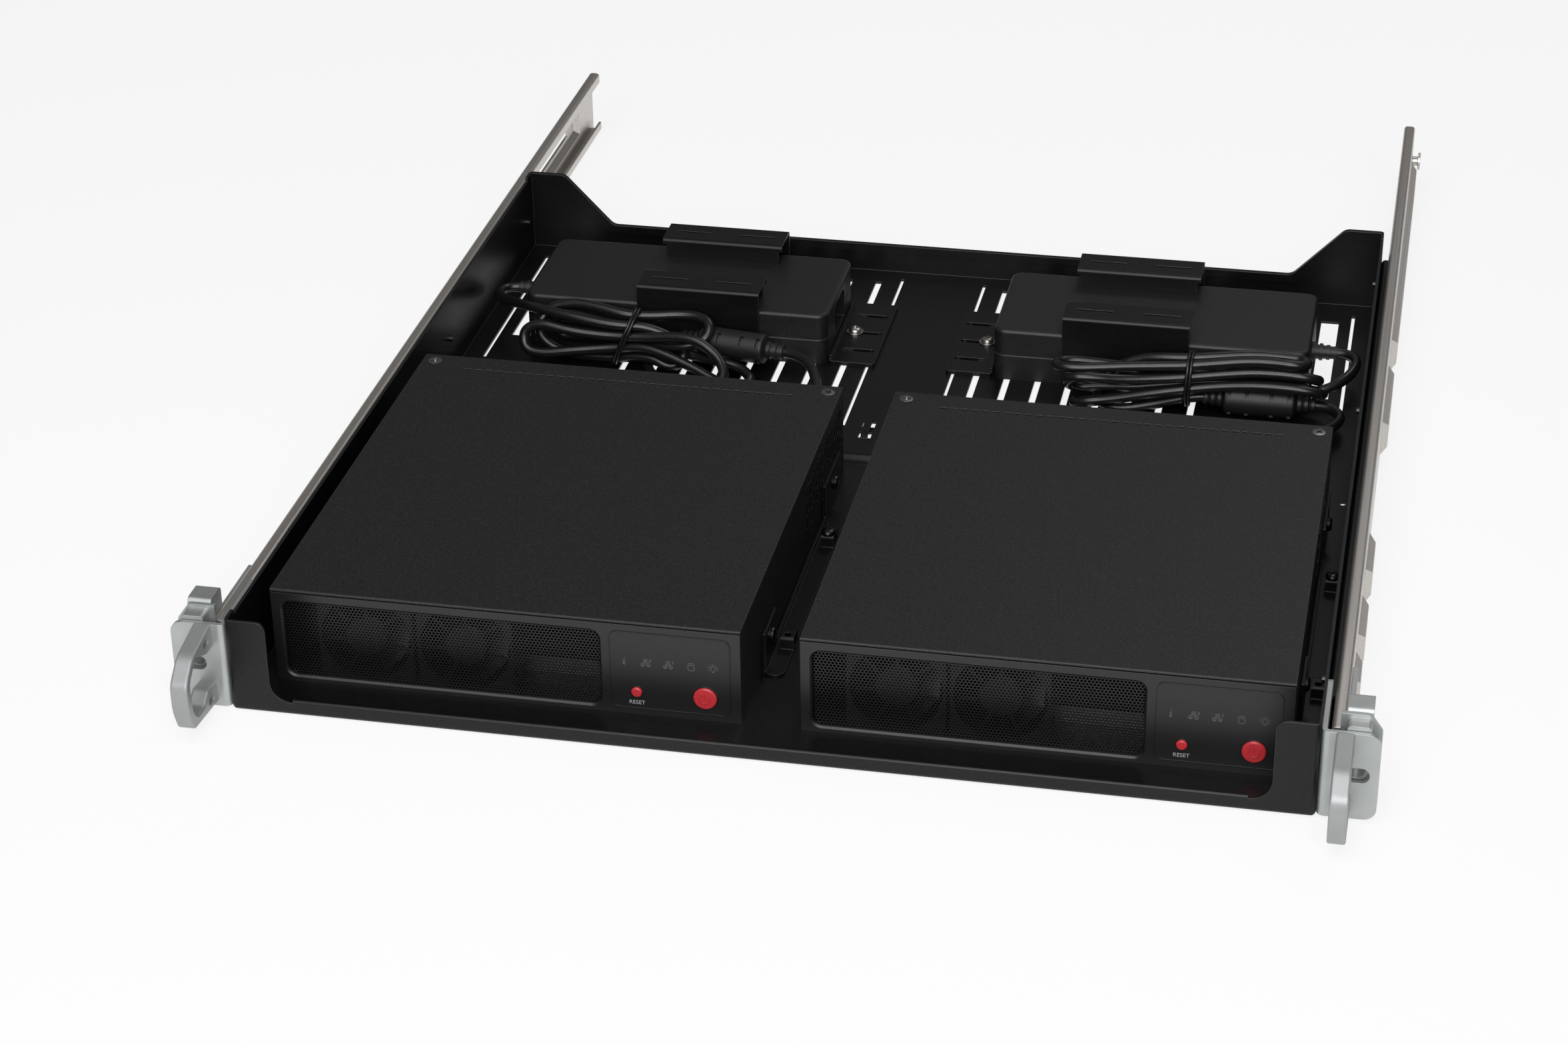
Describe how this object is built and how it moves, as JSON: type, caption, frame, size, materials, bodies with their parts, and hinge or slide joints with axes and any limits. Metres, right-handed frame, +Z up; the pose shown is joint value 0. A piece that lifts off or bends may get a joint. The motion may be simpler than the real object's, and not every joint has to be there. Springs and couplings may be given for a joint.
{
  "type": "mini server rack tray",
  "caption": "Sliding one-unit rack tray carrying side-by-side mini servers, with power adapters, tied leads, rack ears, pull handles and slide rails.",
  "frame": {"origin": "middle of the footprint, on the tray's underside", "axes": "+X to the right as seen from the front, +Y to the rear along the slides, +Z up"},
  "size_m": [0.4826, 0.6528, 0.0442],
  "materials": {
    "black_powder_coat": "fine satin powder coat on folded steel",
    "zinc_plate": "zinc-plated rolled steel, semi-bright",
    "cast_satin": "die-cast, bead-blasted satin",
    "server_paint": "fine matte black paint on sheet steel",
    "bezel_black": "moulded, fine matte grain",
    "button_red": "moulded red, satin gloss",
    "fan_black": "moulded glass-filled, satin",
    "board_green": "glass-epoxy board with solder mask",
    "extruded_aluminium": "extruded and sawn",
    "adapter_black": "moulded, fine spark-eroded grain",
    "cord_black": "extruded matte sheath",
    "screw_nickel": "nickel-plated steel",
    "screw_black": "black oxide steel"
  },
  "bodies": {
    "left_rail": {"outer_rail_left": "zinc_plate", "rack_bracket_left": "zinc_plate"},
    "tray": {"ac_inlet_left": "bezel_black", "ac_inlet_right": "bezel_black", "adapter_base_left": "adapter_black", "adapter_base_right": "adapter_black", "adapter_clips": "black_powder_coat", "adapter_lid_left": "adapter_black", "adapter_lid_right": "adapter_black", "chassis_left": "server_paint", "chassis_right": "server_paint", "control_plate_left": "bezel_black", "control_plate_right": "bezel_black", "cord_left": "cord_black", "cord_right": "cord_black", "cord_ties": "cord_black", "cover_left": "server_paint", "cover_right": "server_paint", "cover_screws": "screw_black", "dc_plugs": "adapter_black", "drive_left": "extruded_aluminium", "drive_right": "extruded_aluminium", "ear_left": "zinc_plate", "ear_right": "zinc_plate", "end_stops": "black_powder_coat", "fan_frames_left": "fan_black", "fan_frames_right": "fan_black", "ferrites": "adapter_black", "floor_screws": "screw_nickel", "front_panel_left": "bezel_black", "front_panel_right": "bezel_black", "grille_left": "server_paint", "grille_right": "server_paint", "handle_left": "cast_satin", "handle_right": "cast_satin", "handle_screws": "screw_nickel", "hank_left": "cord_black", "hank_right": "cord_black", "heatsink_left": "extruded_aluminium", "heatsink_right": "extruded_aluminium", "inner_rail_left": "black_powder_coat", "inner_rail_right": "black_powder_coat", "motherboard_left": "board_green", "motherboard_right": "board_green", "rail_screws": "screw_nickel", "server_bracket_left": "black_powder_coat", "server_bracket_right": "black_powder_coat", "side_screws": "screw_nickel", "strain_reliefs": "cord_black", "tray": "black_powder_coat"},
    "right_rail": {"outer_rail_right": "zinc_plate", "rack_bracket_right": "zinc_plate"},
    "power_button_left": {"power_button_left": "button_red"},
    "reset_button_left": {"reset_button_left": "button_red"},
    "fan_rotor_a_left": {"fan_rotor_a_left": "fan_black"},
    "fan_rotor_b_left": {"fan_rotor_b_left": "fan_black"},
    "power_button_right": {"power_button_right": "button_red"},
    "reset_button_right": {"reset_button_right": "button_red"},
    "fan_rotor_a_right": {"fan_rotor_a_right": "fan_black"},
    "fan_rotor_b_right": {"fan_rotor_b_right": "fan_black"}
  },
  "joints": [
    {"name": "tray_slide", "type": "slide", "parent": "left_rail", "child": "tray", "axis": [0, -1, 0], "range_m": [0, 0.35]},
    {"name": "right_rail_slide", "type": "slide", "parent": "tray", "child": "right_rail", "axis": [0, 1, 0], "range_m": [0, 0.35]},
    {"name": "power_press_left", "type": "slide", "parent": "tray", "child": "power_button_left", "axis": [0, 1, 0], "range_m": [0, 0.0008], "stiffness_N_per_m": 900, "springref_m": -0.0008},
    {"name": "reset_press_left", "type": "slide", "parent": "tray", "child": "reset_button_left", "axis": [0, 1, 0], "range_m": [0, 0.0008], "stiffness_N_per_m": 900, "springref_m": -0.0008},
    {"name": "fan_spin_a_left", "type": "hinge", "parent": "tray", "child": "fan_rotor_a_left", "pos_m": [-0.1693, -0.2623, 0.0222], "axis": [0, 1, 0], "continuous": true},
    {"name": "fan_spin_b_left", "type": "hinge", "parent": "tray", "child": "fan_rotor_b_left", "pos_m": [-0.1275, -0.2623, 0.0222], "axis": [0, 1, 0], "continuous": true},
    {"name": "power_press_right", "type": "slide", "parent": "tray", "child": "power_button_right", "axis": [0, 1, 0], "range_m": [0, 0.0008], "stiffness_N_per_m": 900, "springref_m": -0.0008},
    {"name": "reset_press_right", "type": "slide", "parent": "tray", "child": "reset_button_right", "axis": [0, 1, 0], "range_m": [0, 0.0008], "stiffness_N_per_m": 900, "springref_m": -0.0008},
    {"name": "fan_spin_a_right", "type": "hinge", "parent": "tray", "child": "fan_rotor_a_right", "pos_m": [0.0499, -0.2623, 0.0222], "axis": [0, 1, 0], "continuous": true},
    {"name": "fan_spin_b_right", "type": "hinge", "parent": "tray", "child": "fan_rotor_b_right", "pos_m": [0.0917, -0.2623, 0.0222], "axis": [0, 1, 0], "continuous": true}
  ],
  "couplings": [
    {"joint": "right_rail_slide", "follows": "tray_slide", "ratio": 1}
  ]
}
